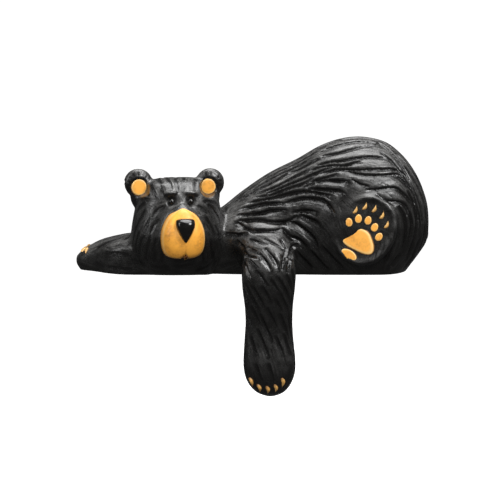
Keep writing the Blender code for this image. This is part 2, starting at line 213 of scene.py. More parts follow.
def chamfered(centre, side, up, half_width, rise, drop, points=RING_POINTS):
    """One ring with eight flat sides, for a limb that is cut in planes."""
    corners = [(1, -0.6), (1, 0.6), (0.72, 1), (-0.72, 1), (-1, 0.6), (-1, -0.6), (-0.72, -1), (0.72, -1)]
    ring = []
    for i in range(points):
        turn = 8 * i / points
        (x0, y0), (x1, y1) = corners[int(turn)], corners[(int(turn) + 1) % 8]
        t = turn - int(turn)
        x, y = x0 + (x1 - x0) * t, y0 + (y1 - y0) * t
        height = (rise if y > 0 else drop) * y
        ring.append((Vector(centre) + Vector(side) * (half_width * x) + Vector(up) * height) * MM)
    return ring


def loft(name, rings):
    """A closed skin over rings of equal length."""
    shape = bmesh.new()
    rows = [[shape.verts.new(point) for point in ring] for ring in rings]
    count = len(rows[0])
    for lower, upper in zip(rows, rows[1:]):
        for i in range(count):
            j = (i + 1) % count
            shape.faces.new((lower[i], lower[j], upper[j], upper[i]))
    shape.faces.new(rows[0])
    shape.faces.new(rows[-1])
    bmesh.ops.recalc_face_normals(shape, faces=shape.faces)
    mesh = bpy.data.meshes.new(name)
    shape.to_mesh(mesh)
    shape.free()
    return new_object(name, mesh)


def ball(name, centre, radii, turn=(0, 0, 0), segments=32):
    """An ellipsoid, turned by the three angles."""
    shape = bmesh.new()
    bmesh.ops.create_uvsphere(shape, u_segments=segments, v_segments=segments * 5 // 8, radius=1)
    turning = Euler([math.radians(angle) for angle in turn]).to_matrix()
    for vertex in shape.verts:
        stretched = Vector(a * b for a, b in zip(vertex.co, radii))
        vertex.co = (turning @ stretched + Vector(centre)) * MM
    mesh = bpy.data.meshes.new(name)
    shape.to_mesh(mesh)
    shape.free()
    return new_object(name, mesh)


def applied(thing, name=None):
    """The object with its modifiers made part of its mesh."""
    name = name or thing.name
    graph = bpy.context.evaluated_depsgraph_get()
    made = bpy.data.meshes.new_from_object(thing.evaluated_get(graph))
    made.name = name
    bpy.data.objects.remove(thing)
    return new_object(name, made)


def joined(name, parts):
    """Several objects as one mesh, with their materials kept."""
    shape = bmesh.new()
    for part in parts:
        shape.from_mesh(part.data)
    mesh = bpy.data.meshes.new(name)
    shape.to_mesh(mesh)
    shape.free()
    for part in parts:
        bpy.data.objects.remove(part)
    return new_object(name, mesh)


def merge(name, parts, voxel, rounds):
    """The parts as one skin: a voxel remesh, then rounds of smoothing that blend the joints."""
    whole = joined(name, parts)
    remesh = whole.modifiers.new("Remesh", "REMESH")
    remesh.mode = "VOXEL"
    remesh.voxel_size = voxel * MM
    smooth = whole.modifiers.new("Smooth", "SMOOTH")
    smooth.factor = 0.5
    smooth.iterations = rounds
    return applied(whole)


def finished(thing, replaces=False):
    """The last steps of every piece: smooth shading and its body, and, for the piece that replaces the solid's
    node, that node hidden.
    """
    thing.data.shade_smooth()
    if replaces:
        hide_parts(NODE)
    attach(thing, BODY)
    return thing


# The form of the bear


def torso():
    """The trunk from the chest, hidden behind the head, to the end of the rump."""
    # x, top, middle, bottom, half width
    stations = [
        (-68, 19, 10, -16, 18),
        (-50, 26, 14, -20, 27),
        (-34, 35.5, 18, -24, 33),
        (-22, 45, 20, -24, 35),
        (-6, 56, 22, -24, 36),
        (11, 64.5, 24, -24, 37),
        (23, 71.5, 26, -24, 39),
        (35, 76, 27, -24, 41),
        (RUMP_X, RUMP_TOP, 28, -24, 42),
        (62, 74.5, 28, -16, 41),
        (71, 68, 28, -6, 37.5),
        (77, 61, 28, 2, 33),
        (82, 52.5, 28, 8.5, 27),
        (86, 42, 27, 14, 18),
        (87.6, 34, 26, 19, 7),
    ]
    rings = [
        section((x, 0, middle), (0, 1, 0), (0, 0, 1), half, top - middle, middle - bottom, 2.2)
        for x, top, middle, bottom, half in smooth_rows(stations, 5)
    ]
    return loft("torso", rings)


def head_frame():
    """The face's own directions: across to its left, forwards out of the muzzle, and up."""
    yaw = math.radians(HEAD_YAW)
    across = Vector((math.cos(yaw), math.sin(yaw), 0))
    forwards = Vector((math.sin(yaw), -math.cos(yaw), 0))
    return across, forwards, Vector((0, 0, 1))


def on_head(across, forwards, up):
    """A point given from the middle of the head's base, along the face's own directions."""
    a, f, u = head_frame()
    return Vector((*HEAD_CENTRE, 0)) + a * across + f * forwards + u * up


def in_head(place):
    """The other way round: a point's distances across, forwards and up."""
    apart = place - Vector((*HEAD_CENTRE, 0))
    return [apart.dot(axis) for axis in head_frame()]


def head_loft(name, stations, power, count=4, points=RING_POINTS, aside=0.0, grow=0.0):
    """Level sections in the face's directions: height, half width, and where their front and back are."""
    across, forwards, _ = head_frame()
    rings = []
    for up, half, front, back in smooth_rows(stations, count):
        middle = on_head(aside, (front + back) / 2, up)
        reach = (front - back) / 2 + grow
        rings.append(section(middle, across, forwards, half + grow, reach, reach, power, points))
    return loft(name, rings)


def head():
    """The skull and cheeks: widest at the cheeks and flat across the brow."""
    stations = [
        (-3, 16, 14, -12),
        (4, 22, 19, -17),
        (11, 25.6, 22, -21),
        (20, 27, 23.5, -24),
        (28, 26.4, 23, -25),
        (37, 24.6, 21.5, -24),
        (45, 22.8, 19.5, -21),
        (50.6, 20.2, 16, -17),
        (53.4, 16, 11.5, -12),
        (54.8, 9, 5, -6),
    ]
    return head_loft("head", stations, 2.3)


def ear_centre(side):
    return on_head(20.5 * side - 2.1, 1, EAR_HEIGHT)


def dish_centre(side):
    """The middle of an ear's hollow, which lies low in it."""
    return ear_centre(side) + on_head(-0.9 * side - 0.6, 0, -2.1) - on_head(0, 0, 0)


def ears():
    """Round ears on the corners of the skull, each with a broad root."""
    parts = []
    for side in (-1, 1):
        centre = ear_centre(side)
        parts.append(ball("ear", centre, (EAR_RADIUS, 4.8, EAR_RADIUS), (0, 0, HEAD_YAW)))
        root = on_head(17.6 * side - 1.4, -1, 43.5)
        parts.append(ball("ear_root", root, (8, 6, 9), (0, 24 * side, HEAD_YAW)))
    return parts


def eye_centre(side):
    return on_head(5.3 * side, 20.6, 42.4)


def brows():
    """Low ridges over the eyes."""
    parts = []
    for side in (-1, 1):
        ridge = on_head(5.6 * side, 18.2, 47.2)
        parts.append(ball("brow", ridge, (4.2, 2, 1.4), (0, 4 * side, HEAD_YAW)))
    return parts


def bridge():
    """The black form behind the painted muzzle, which shows above it and runs up between the eyes."""
    stations = [
        (11.2, 5, 26, 4),
        (12.6, 9.2, 29.5, 4),
        (15.8, 11.6, 32.4, 4),
        (20, 12.6, 33.8, 4),
        (24.5, 12.5, 33.8, 4),
        (29, 11.5, 33, 4),
        (33, 9.7, 31.2, 4),
        (36.8, 7.2, 28.8, 4),
        (40, 4.8, 25.8, 4),
        (41.8, 2, 23, 4),
    ]
    return head_loft("bridge", stations, 2.9, aside=0.5, grow=-0.5)


def hanging_arm():
    """The forearm and paw that hang in front of the shelf: level sections, flattened front and back."""
    # height, middle of X, half width, how far the front stands out of the shelf's plane
    stations = [
        (12, -6.5, 14, 20),
        (4, -6.5, 15.2, 22),
        (-6, -6.6, 14.8, 22),
        (-16, -6.5, 13.6, 21),
        (-27, -6.4, 13.3, 20),
        (-38, -6.3, 14.1, 20.5),
        (-47, -6.1, 14.8, 21.5),
        (-54, -6.0, 14.4, 21.5),
        (-60, -5.9, 12.2, 20),
        (-64.5, -5.7, 8.6, 17),
        (-66.8, -5.5, 4.8, 13),
        (-ARM_LENGTH, -5.5, 1, 9),
    ]
    middle = SHELF_EDGE - 9
    rings = [
        section((x, middle, up), (1, 0, 0), (0, -1, 0), half, front - 9, 12, 2.9)
        for up, x, half, front in smooth_rows(stations, 4)
    ]
    return loft("hanging_arm", rings)


def shelf_arm():
    """The other forearm, stretched out along the shelf, with a blunt paw."""
    # x, top, middle, bottom, front of it, back of it
    stations = [
        (-40, 20, 8, -12, -35, 20),
        (-70, 20.5, 8, -12, -34.5, 15),
        (-86, 20.5, 8, -12, -34, 12),
        (-97, 18.6, 8, -10, -29, 12),
        (-105, 16.4, 8, -8, -21, 11.5),
        (-111, 13.6, 7, -5, -16.5, 10),
        (-116, 10.4, 6, -1, -14, 7),
        (-119.4, 7.6, 5.4, 3, -9, 3),
    ]
    rings = []
    for x, top, middle, bottom, front, back in smooth_rows(stations, 4):
        centre = (x, (front + back) / 2, middle)
        half = (back - front) / 2
        rings.append(chamfered(centre, (0, 1, 0), (0, 0, 1), half, top - middle, middle - bottom))
    return loft("shelf_arm", rings)


def sole_frame(side):
    """A hind foot's directions: out of the sole, along it towards the toes, and across it."""
    lean = math.radians(SOLE_LEAN)
    outwards = Vector((-0.16, side * 0.98, 0.06)).normalized()
    along = Vector((math.sin(lean), 0, math.cos(lean)))
    along = (along - outwards * along.dot(outwards)).normalized()
    return outwards, along, outwards.cross(along)


def sole_middle(side):
    x, out, z = SOLE_CENTRE
    return Vector((x, side * out, z))


def foot(side):
    """A hind foot that stands out of the haunch, sole outwards. Side is -1 at the front and 1 behind."""
    # distance out, half width, half length
    stations = [
        (-22, 15.6, 18.6),
        (-8, 16.6, 19.6),
        (-2.5, 17.3, 20.4),
        (-0.6, 16.8, 19.9),
        (0.2, 15.4, 18.4),
        (-0.6, 13.6, 16.4),
        (-0.7, 6, 8),
    ]
    outwards, along, across = sole_frame(side)
    rings = [
        section(sole_middle(side) + outwards * out, across, along, half, length, length, 2.1)
        for out, half, length in smooth_rows(stations, 3)
    ]
    return loft("foot", rings)


def masses():
    """The large masses, as a carver blocks them in."""
    parts = [torso(), head(), shelf_arm()]
    parts.append(ball("shoulder_front", (-9, -28, 16), (19, 19, 17)))
    parts.append(ball("upper_arm", (ARM_X, -38, 8), (15, 17, 15)))
    parts.append(ball("shoulder_back", (-36, 16, 14), (28, 21, 20)))
    parts.append(ball("neck", (-38, -8, 19), (20, 22, 14.5)))
    for side in (-1, 1):
        parts.append(ball("haunch", (54, side * 18, 28), (31, 22.5, 34)))
    return parts


def features():
    """The smaller forms of the coat, without the painted ones that are pieces of their own."""
    parts = [hanging_arm(), bridge(), *ears(), *brows()]
    parts.append(ball("tail", (84.9, 0, 24), (3.4, 6.2, 8.8), (0, -14, 0)))
    for side in (-1, 1):
        parts.append(foot(side))
    return parts


def flatten_below(thing, level):
    """Nothing of the masses hangs under the seat, and what is in front of the shelf rises a little."""
    for vertex in thing.data.vertices:
        rise = UNDERCUT * (SHELF_EDGE - vertex.co.y / MM)
        vertex.co.z = max(vertex.co.z, max(level, rise) * MM)


def press(thing):
    """Hollows that are pushed into the skin: the dish of each ear, down to a level that clears the skull
    beside it, and the socket of each eye."""
    across, forwards, up = head_frame()
    hollows = [(dish_centre(side), 4.9, 0.9, 1.5, 2.9) for side in (-1, 1)]
    hollows += [(eye_centre(side), 2.5, 0.8, 1.3, 99) for side in (-1, 1)]
    for vertex in thing.data.vertices:
        place = vertex.co / MM
        for centre, radius, soft, depth, level in hollows:
            apart = place - centre
            ahead = apart.dot(forwards)
            out = math.hypot(apart.dot(across), apart.dot(up))
            if out < radius + soft and ahead > -2 and vertex.normal.dot(forwards) > 0:
                share = min(1, max(0, (radius + soft - out) / (2 * soft)))
                vertex.co -= forwards * max(depth, ahead - level) * share * share * (3 - 2 * share) * MM


def bear_skin():
    """The bear without its fur."""
    blocked = merge("blocked", masses(), 1.4, 10)
    flatten_below(blocked, -2.5)
    skin = merge("coat", [blocked, *features()], FINE_VOXEL, 3)
    press(skin)
    return skin


# The lie of the fur, and the cuts that follow it


def blend(place, guides):
    """The lie of the fur at a place, blended from the guides near it in side view."""
    along = Vector((0, 0, 0))
    for x, z, angle in guides:
        weight = ((place.x - x) ** 2 + (place.z - z) ** 2 + 9) ** -1.5
        turn = math.radians(angle)
        along += weight * Vector((math.cos(turn), 0, math.sin(turn)))
    return along


def head_fur(place):
    """Fur that grows up the forehead and back, and falls down the cheeks."""
    across, forwards, up = in_head(place)
    sideways, ahead, upwards = head_frame()
    fall = min(1, max(0, (46 - up) / 10))
    away = sideways * across * (0.3 + 0.7 * fall) + ahead * (forwards - 19) + upwards * (up - 40)
    return away.normalized() + Vector((0, 0, -0.9 * fall))


def region(place):
    """Which part of the coat a place belongs to, or None where the bear is bare."""
    across, forwards, up = in_head(place)
    if (across / 30) ** 2 + (forwards / 28.5) ** 2 < 1 and up > 9:
        on_muzzle = forwards > 16 and ((across - 0.3) / 14.6) ** 2 + ((up - 26) / 17) ** 2 < 1
        by_eye = any((place - eye_centre(side) - Vector((0, 0, 2))).length < 6 for side in (-1, 1))
        on_ear = any((place - ear_centre(side)).length < EAR_RADIUS + 1.5 for side in (-1, 1))
        return None if on_muzzle or by_eye or on_ear else "head"
    if (place - on_head(0, 30, 26)).length < 20:
        return None
    for side in (-1, 1):
        outwards, along, side_way = sole_frame(side)
        apart = place - sole_middle(side)
        from_middle = math.hypot(apart.dot(along) / 20.5, apart.dot(side_way) / 17.5)
        if apart.dot(outwards) > -4 and from_middle < 1.06:
            return None
    if place.y < SHELF_EDGE - 3 and -24 < place.x < 10 and place.z < 24:
        bare = place.z < -56 or (place.y > SHELF_EDGE - 6 and place.z < 2)
        return None if bare else "arm"
    if place.z < 3.5:
        return None
    if place.x < -20 and place.z < 22 and place.x < -20 - 2 * (place.z - 12):
        return None if place.x < -106 else "shelf arm"
    return "body"


def lie_of_fur(place, normal, where):
    """The unit direction of the fur along the skin at a place."""
    if where == "head":
        along = head_fur(place)
    elif where == "arm":
        along = blend(place, ARM_COAT)
    elif where == "shelf arm":
        along = blend(place, SHELF_ARM_COAT)
    elif place.y < 0:
        along = blend(place, COAT + ARM_COAT[:4])
    else:
        along = blend(place, COAT)
    along -= normal * along.dot(normal)
    return along.normalized() if along.length > 1e-6 else None


class Cuts:
    """Lines over the coat that keep their spacing, drawn in an order that a fixed seed gives."""

    def __init__(self, skin, table, seed):
        self.skin = skin
        self.table = table
        self.draw = random.Random(seed)
        self.taken = np.zeros((60000, 3))
        self.count = 0
        self.lines = []

    def nearest(self, place):
        """The squared distance to the nearest line, or a large one if there is none."""
        if not self.count:
            return 1e9
        apart = self.taken[: self.count] - np.array(place)
        return np.min(np.einsum("ij,ij->i", apart, apart))

    def trace(self, start, where, longest):
        """One line: steps both ways from its start along the lie of the fur, clear of the other lines."""
        spacing = self.table[where][0]
        halves = []
        for sense in (1, -1):
            run = []
            place = start
            while len(run) * STEP < longest / 2:
                spot, normal, _, _ = self.skin.find_nearest(place * MM)
                place = spot / MM
                if region(place) != where or self.nearest(place) < (0.62 * spacing) ** 2:
                    break
                along = lie_of_fur(place, normal, where)
                if along is None:
                    break
                run.append(place.copy())
                place = place + along * (sense * STEP)
            halves.append(run)
        ahead, behind = halves
        return behind[:0:-1] + ahead

    def keep(self, where, line):
        self.lines.append((where, line))
        self.taken[self.count : self.count + len(line)] = [tuple(point) for point in line]
        self.count += len(line)

    def follow(self, where, places):
        """A line through given places, laid on the skin."""
        line = []
        rows = smooth_rows(places, 6)
        for start, end in zip(rows, rows[1:]):
            count = max(1, round(np.linalg.norm(end - start) / STEP))
            for i in range(count):
                aim = Vector(start + (end - start) * i / count)
                line.append(self.skin.find_nearest(aim * MM)[0] / MM)
        self.keep(where, line)

    def draw_all(self, tries):
        low, high = (-120, -56, -60), (90, 44, 80)
        for _ in range(tries):
            aim = Vector(self.draw.uniform(a, b) for a, b in zip(low, high))
            chance = self.draw.random()
            start = self.skin.find_nearest(aim * MM)[0] / MM
            where = region(start)
            if where is None or where not in self.table:
                continue
            spacing, _, _, shortest, longest = self.table[where]
            if self.nearest(start) < spacing**2:
                continue
            line = self.trace(start, where, shortest + (longest - shortest) * chance)
            if len(line) * STEP >= 0.6 * shortest:
                self.keep(where, line)
        return self.lines


def ear_notches(skin):
    """Short cuts across the rim of each ear, like the marks of a gouge turned round it."""
    across, forwards, up = head_frame()
    found = []
    for side in (-1, 1):
        centre = ear_centre(side)
        for i in range(11):
            angle = math.radians(-35 + 25 * i)
            out = across * side * math.cos(angle) + up * math.sin(angle)
            line = []
            for k in range(5):
                aim = centre + out * (6.3 + 0.5 * k) + forwards * 6
                line.append(skin.find_nearest(aim * MM)[0] / MM)
            found.append(("ear", line))
    return found


def line_mesh(name, lines, table, skin):
    """The lines as loose edges. Their points carry what a cut needs: its reach and depth, tapered to both
    ends, the way across it to the lock that overlaps it, and how far along the coat the point is."""
    points, edges, reach, depth, over, run = [], [], [], [], [], []
    for number, (where, line) in enumerate(lines):
        _, wide, deep, _, _ = table[where]
        first = len(points)
        for i, point in enumerate(line):
            taper = min(1, (i + 1) * STEP / 5, (len(line) - i) * STEP / 7)
            tangent = line[min(i + 1, len(line) - 1)] - line[max(i - 1, 0)]
            side = skin.find_nearest(point * MM)[1].cross(tangent).normalized()
            points.append(point * MM)
            reach.append(wide * MM)
            depth.append(deep * MM * math.sqrt(taper))
            over.extend(side if side.x * 0.5 + side.z > 0 else -side)
            run.append(37.0 * (number % 53) + i * STEP)
        edges += [(k, k + 1) for k in range(first, len(points) - 1)]
    mesh = bpy.data.meshes.new(name)
    mesh.from_pydata(points, edges, [])
    for word, values in (("reach", reach), ("depth", depth), ("run", run)):
        mesh.attributes.new(word, "FLOAT", "POINT").data.foreach_set("value", values)
    mesh.attributes.new("over", "FLOAT_VECTOR", "POINT").data.foreach_set("vector", over)
    return new_object(name, mesh)


# Node trees


def put(tree, kind, **settings):
    """One more node, with its properties and the values of its unlinked inputs."""
    node = tree.nodes.new(kind)
    for word, value in settings.items():
        if hasattr(node, word):
            setattr(node, word, value)
    return node


def value(node, name, number):
    node.inputs[name].default_value = number


def geometry_tree(name, inputs):
    """An empty geometry tree with named inputs: name, socket kind and default."""
    tree = bpy.data.node_groups.new(name, "GeometryNodeTree")
    tree.interface.new_socket("Geometry", in_out="INPUT", socket_type="NodeSocketGeometry")
    for word, kind, default in inputs:
        socket = tree.interface.new_socket(word, in_out="INPUT", socket_type=kind)
        if default is not None:
            socket.default_value = default
    tree.interface.new_socket("Geometry", in_out="OUTPUT", socket_type="NodeSocketGeometry")
    return tree, tree.nodes.new("NodeGroupInput"), tree.nodes.new("NodeGroupOutput")


def use_tree(thing, tree, values):
    """Puts a tree on an object, with its inputs set by the identifiers of their sockets."""
    modifier = thing.modifiers.new(tree.name, "NODES")
    modifier.node_group = tree
    for item in tree.interface.items_tree:
        if item.item_type == "SOCKET" and item.in_out == "INPUT" and item.name in values:
            modifier[item.identifier] = values[item.name]
    return modifier


def math_node(tree, operation, one, other=None, clamp=False):
    """One sum of two sockets or numbers."""
    node = put(tree, "ShaderNodeMath", operation=operation, use_clamp=clamp)
    for socket, source in zip(node.inputs, (one, other)):
        if isinstance(source, bpy.types.NodeSocket):
            tree.links.new(source, socket)
        elif source is not None:
            socket.default_value = source
    return node.outputs[0]


def vector_node(tree, operation, one, other=None, scale=None):
    node = put(tree, "ShaderNodeVectorMath", operation=operation)
    tree.links.new(one, node.inputs[0])
    if other is not None:
        tree.links.new(other, node.inputs[1])
    if scale is not None:
        tree.links.new(scale, node.inputs["Scale"])
    return node.outputs["Value" if operation in ("LENGTH", "DOT_PRODUCT") else "Vector"]


def cut_field(tree, lines, position):
    """How deep the nearest line of a set cuts at each point, how near it is from 0 to 1, and a place in the
    fur. A cut is steep under the lock that overlaps it, and rises slowly on its other side."""
    link = tree.links.new
    source = put(tree, "GeometryNodeObjectInfo", transform_space="ORIGINAL")
    link(lines, source.inputs["Object"])
    nearest = put(tree, "GeometryNodeSampleNearest", domain="POINT")
    link(source.outputs["Geometry"], nearest.inputs["Geometry"])
    link(position, nearest.inputs["Sample Position"])
    found = {}
    for word in ("spot", "over", "reach", "depth", "run"):
        kind = "FLOAT_VECTOR" if word in ("spot", "over") else "FLOAT"
        sample = put(tree, "GeometryNodeSampleIndex", data_type=kind, domain="POINT")
        link(source.outputs["Geometry"], sample.inputs["Geometry"])
        link(nearest.outputs["Index"], sample.inputs["Index"])
        if word == "spot":
            link(tree.nodes.new("GeometryNodeInputPosition").outputs[0], sample.inputs["Value"])
        else:
            named = put(tree, "GeometryNodeInputNamedAttribute", data_type=kind)
            value(named, "Name", word)
            link(named.outputs["Attribute"], sample.inputs["Value"])
        found[word] = sample.outputs["Value"]
    apart = vector_node(tree, "SUBTRACT", position, found["spot"])
    distance = vector_node(tree, "LENGTH", apart)
    side = math_node(tree, "DIVIDE", vector_node(tree, "DOT_PRODUCT", apart, found["over"]), distance)
    stretch = math_node(tree, "SUBTRACT", 0.85, math_node(tree, "MULTIPLY", side, 0.4))
    reach = math_node(tree, "MULTIPLY", found["reach"], stretch)
    near = math_node(tree, "SUBTRACT", 1.0, math_node(tree, "DIVIDE", distance, reach), clamp=True)
    deep = math_node(tree, "MULTIPLY", math_node(tree, "POWER", near, 1.5), found["depth"])
    place = tree.nodes.new("ShaderNodeCombineXYZ")
    link(math_node(tree, "MULTIPLY", found["run"], 0.14), place.inputs["X"])
    link(math_node(tree, "MULTIPLY", math_node(tree, "MULTIPLY", side, distance), 1000.0), place.inputs["Y"])
    return deep, near, place.outputs[0]


def carving_tree():
    """Cuts the coat along two sets of lines, and keeps for the paint how near each point is to a cut, how far
    it looks up, and its place in the fur."""
    tree, start, end = geometry_tree(
        "Carved fur",
        [
            ("Locks", "NodeSocketObject", None),
            ("Strokes", "NodeSocketObject", None),
            ("Lock depth", "NodeSocketFloat", 1.0),
            ("Stroke depth", "NodeSocketFloat", 1.0),
            ("Material", "NodeSocketMaterial", None),
        ],
    )
    link = tree.links.new
    position = tree.nodes.new("GeometryNodeInputPosition").outputs[0]
    normal = tree.nodes.new("GeometryNodeInputNormal").outputs[0]
    parts = tree.nodes.new("ShaderNodeSeparateXYZ")
    link(normal, parts.inputs[0])
    lock_cut, lock_near, fur = cut_field(tree, start.outputs["Locks"], position)
    stroke_cut, stroke_near, _ = cut_field(tree, start.outputs["Strokes"], position)
    locks = math_node(tree, "MULTIPLY", lock_cut, start.outputs["Lock depth"])
    strokes = math_node(tree, "MULTIPLY", stroke_cut, start.outputs["Stroke depth"])
    inwards = math_node(tree, "MULTIPLY", math_node(tree, "ADD", locks, strokes), -1.0)
    geometry = start.outputs["Geometry"]
    stored = {"lock": lock_near, "stroke": stroke_near, "sky": parts.outputs["Z"], "fur": fur}
    for word, source in stored.items():
        kind = "FLOAT_VECTOR" if word == "fur" else "FLOAT"
        store = put(tree, "GeometryNodeStoreNamedAttribute", data_type=kind, domain="POINT")
        value(store, "Name", word)
        link(geometry, store.inputs["Geometry"])
        link(source, store.inputs["Value"])
        geometry = store.outputs["Geometry"]
    move = tree.nodes.new("GeometryNodeSetPosition")
    link(geometry, move.inputs["Geometry"])
    link(vector_node(tree, "SCALE", normal, scale=inwards), move.inputs["Offset"])
    close_tree(tree, move.outputs["Geometry"], start, end)
    return tree


def close_tree(tree, geometry, start, end):
    """The end of every geometry tree here: real mesh with its material."""
    real = tree.nodes.new("GeometryNodeRealizeInstances")
    tree.links.new(geometry, real.inputs["Geometry"])
    paint = tree.nodes.new("GeometryNodeSetMaterial")
    tree.links.new(real.outputs["Geometry"], paint.inputs["Geometry"])
    tree.links.new(start.outputs["Material"], paint.inputs["Material"])
    tree.links.new(paint.outputs["Geometry"], end.inputs["Geometry"])


def setting_tree():
    """Sets a copy of one small shape on each point, turned to the point's own directions and scaled."""
    tree, start, end = geometry_tree(
        "Set on the skin",
        [
            ("Shape", "NodeSocketObject", None),
            ("Size", "NodeSocketFloat", 1.0),
            ("Material", "NodeSocketMaterial", None),
        ],
    )
    link = tree.links.new
    source = put(tree, "GeometryNodeObjectInfo", transform_space="ORIGINAL")
    link(start.outputs["Shape"], source.inputs["Object"])
    turn = None
    for word, axis in (("outwards", "Z"), ("along", "Y")):
        named = put(tree, "GeometryNodeInputNamedAttribute", data_type="FLOAT_VECTOR")
        value(named, "Name", word)
        align = put(tree, "FunctionNodeAlignRotationToVector", axis=axis)
        if turn is not None:
            align.pivot_axis = "Z"
            link(turn, align.inputs["Rotation"])
        link(named.outputs["Attribute"], align.inputs["Vector"])
        turn = align.outputs[0]
    size = put(tree, "GeometryNodeInputNamedAttribute", data_type="FLOAT_VECTOR")
    value(size, "Name", "size")
    scale = put(tree, "ShaderNodeVectorMath", operation="SCALE")
    link(size.outputs["Attribute"], scale.inputs[0])
    link(start.outputs["Size"], scale.inputs["Scale"])
    copies = tree.nodes.new("GeometryNodeInstanceOnPoints")
    link(start.outputs["Geometry"], copies.inputs["Points"])
    link(source.outputs["Geometry"], copies.inputs["Instance"])
    link(turn, copies.inputs["Rotation"])
    link(scale.outputs[0], copies.inputs["Scale"])
    close_tree(tree, copies.outputs["Instances"], start, end)
    return tree


def set_on_skin(name, places, shape, size, material):
    """One mesh with a copy of the shape at each place: point, way out, way along, and sizes."""
    mesh = bpy.data.meshes.new(name)
    mesh.from_pydata([place[0] * MM for place in places], [], [])
    for column, word in ((1, "outwards"), (2, "along"), (3, "size")):
        numbers = [number for place in places for number in place[column]]
        mesh.attributes.new(word, "FLOAT_VECTOR", "POINT").data.foreach_set("vector", numbers)
    thing = new_object(name, mesh)
    tree = bpy.data.node_groups.get("Set on the skin") or setting_tree()
    use_tree(thing, tree, {"Shape": shape, "Size": size, "Material": material})
    made = applied(thing)
    bpy.data.objects.remove(shape)
    return made


# Paints


def paint_tree(name):
    material = bpy.data.materials.new(name)
    material.use_nodes = True
    tree = material.node_tree
    return material, tree, tree.nodes["Principled BSDF"]


def noise(tree, scale, detail, roughness=0.6, place=None):
    """Noise in the object's own metres, or over another place."""
    made = tree.nodes.new("ShaderNodeTexNoise")
    value(made, "Scale", scale)
    value(made, "Detail", detail)
    value(made, "Roughness", roughness)
    place = place or tree.nodes.new("ShaderNodeTexCoord").outputs["Object"]
    tree.links.new(place, made.inputs["Vector"])
    return made.outputs[0]


def attribute(tree, name):
    made = put(tree, "ShaderNodeAttribute", attribute_name=name)
    return made.outputs["Fac"]


def spread(tree, source, low, high, start=0.0, end=1.0):
    """A value taken from one range to another, and kept inside it."""
    made = tree.nodes.new("ShaderNodeMapRange")
    tree.links.new(source, made.inputs["Value"])
    for name, number in (("From Min", low), ("From Max", high), ("To Min", start), ("To Max", end)):
        value(made, name, number)
    return made.outputs[0]


def times(tree, one, other):
    made = put(tree, "ShaderNodeMath", operation="MULTIPLY")
    tree.links.new(one, made.inputs[0])
    tree.links.new(other, made.inputs[1])
    return made.outputs[0]


def mixed(tree, share, low, high):
    """Two colours, or a colour over a socket, mixed by a share."""
    made = put(tree, "ShaderNodeMix", data_type="RGBA")
    tree.links.new(share, made.inputs["Factor"])
    for socket, colour in ((made.inputs[6], low), (made.inputs[7], high)):
        if isinstance(colour, bpy.types.NodeSocket):
            tree.links.new(colour, socket)
        else:
            socket.default_value = (*colour, 1)
    return made.outputs[2]


def bump(tree, shader, source, strength, distance):
    made = tree.nodes.new("ShaderNodeBump")
    value(made, "Strength", strength)
    value(made, "Distance", distance)
    tree.links.new(source, made.inputs["Height"])
    tree.links.new(made.outputs[0], shader.inputs["Normal"])


def black_fur_paint(settings):
    """Satin black, with grey along the fur over the ridges: partly dry-brushed paint and partly a painted
    highlight that is strongest on ridges that look up, and kept out of the cuts as painted shade.
    """
    material, tree, shader = paint_tree("black fur paint")
    fur = put(tree, "ShaderNodeAttribute", attribute_name="fur").outputs["Vector"]
    # The grey is kept out of the lock cuts and fine strokes, a painted shade in them, and grows where the skin
    # faces up, a painted highlight of light from above
    ridge = spread(tree, attribute(tree, "lock"), 0.6, 0.05)
    fine = spread(tree, attribute(tree, "stroke"), 0.8, 0.1, 0.35, 1.0)
    sky = spread(tree, attribute(tree, "sky"), -0.05, 0.75, 0.07, 1.0)
    hairs = spread(tree, noise(tree, 1.1, 4, 0.7, fur), 0.36, 0.64)
    dabs = spread(tree, noise(tree, 160, 4), 0.36, 0.6, 0.25, 1.0)
    brushed_and_lit = times(tree, times(tree, times(tree, ridge, fine), times(tree, sky, hairs)), dabs)
    colour = mixed(tree, brushed_and_lit, tuple(settings.black), tuple(settings.dry_brush_and_highlight_grey))
    tree.links.new(colour, shader.inputs["Base Color"])
    tree.links.new(spread(tree, noise(tree, 700, 3), 0.3, 0.7, 0.21, 0.35), shader.inputs["Roughness"])
    bump(tree, shader, noise(tree, 1.6, 3, 0.6, fur), 0.35, 0.0002)
    return material


def tan_paint(settings):
    """Warm tan with a painted highlight that makes it pale along raised edges, and a thin brown wash round them
    and in patches.
    """
    material, tree, shader = paint_tree("tan paint")
    broad = spread(tree, noise(tree, 150, 5), 0.42, 0.68)
    patches = times(tree, broad, spread(tree, noise(tree, 900, 3), 0.3, 0.6))
    base = mixed(tree, patches, tuple(settings.tan), tuple(settings.tan_wash))
    # The pale attribute lays a painted highlight of lighter tan along raised edges
    base = mixed(tree, attribute(tree, "pale"), base, tuple(settings.tan_highlight))
    colour = mixed(tree, attribute(tree, "wash"), base, tuple(settings.wash_edge))
    tree.links.new(colour, shader.inputs["Base Color"])
    tree.links.new(spread(tree, noise(tree, 600, 3), 0.3, 0.7, 0.32, 0.46), shader.inputs["Roughness"])
    bump(tree, shader, noise(tree, 1100, 4), 0.3, 0.00015)
    return material


def gloss_black_paint(settings):
    """Thick gloss black that has levelled as it dried."""
    material, tree, shader = paint_tree("gloss black paint")
    depth = spread(tree, noise(tree, 300, 2), 0.3, 0.8)
    colour = mixed(tree, depth, tuple(settings.gloss_black), (0.008, 0.007, 0.006))
    tree.links.new(colour, shader.inputs["Base Color"])
    tree.links.new(spread(tree, noise(tree, 500, 2), 0.3, 0.8, 0.14, 0.24), shader.inputs["Roughness"])
    value(shader, "Coat Weight", 0.15)
    value(shader, "Coat Roughness", 0.08)
    bump(tree, shader, noise(tree, 500, 2), 0.12, 0.0001)
    return material


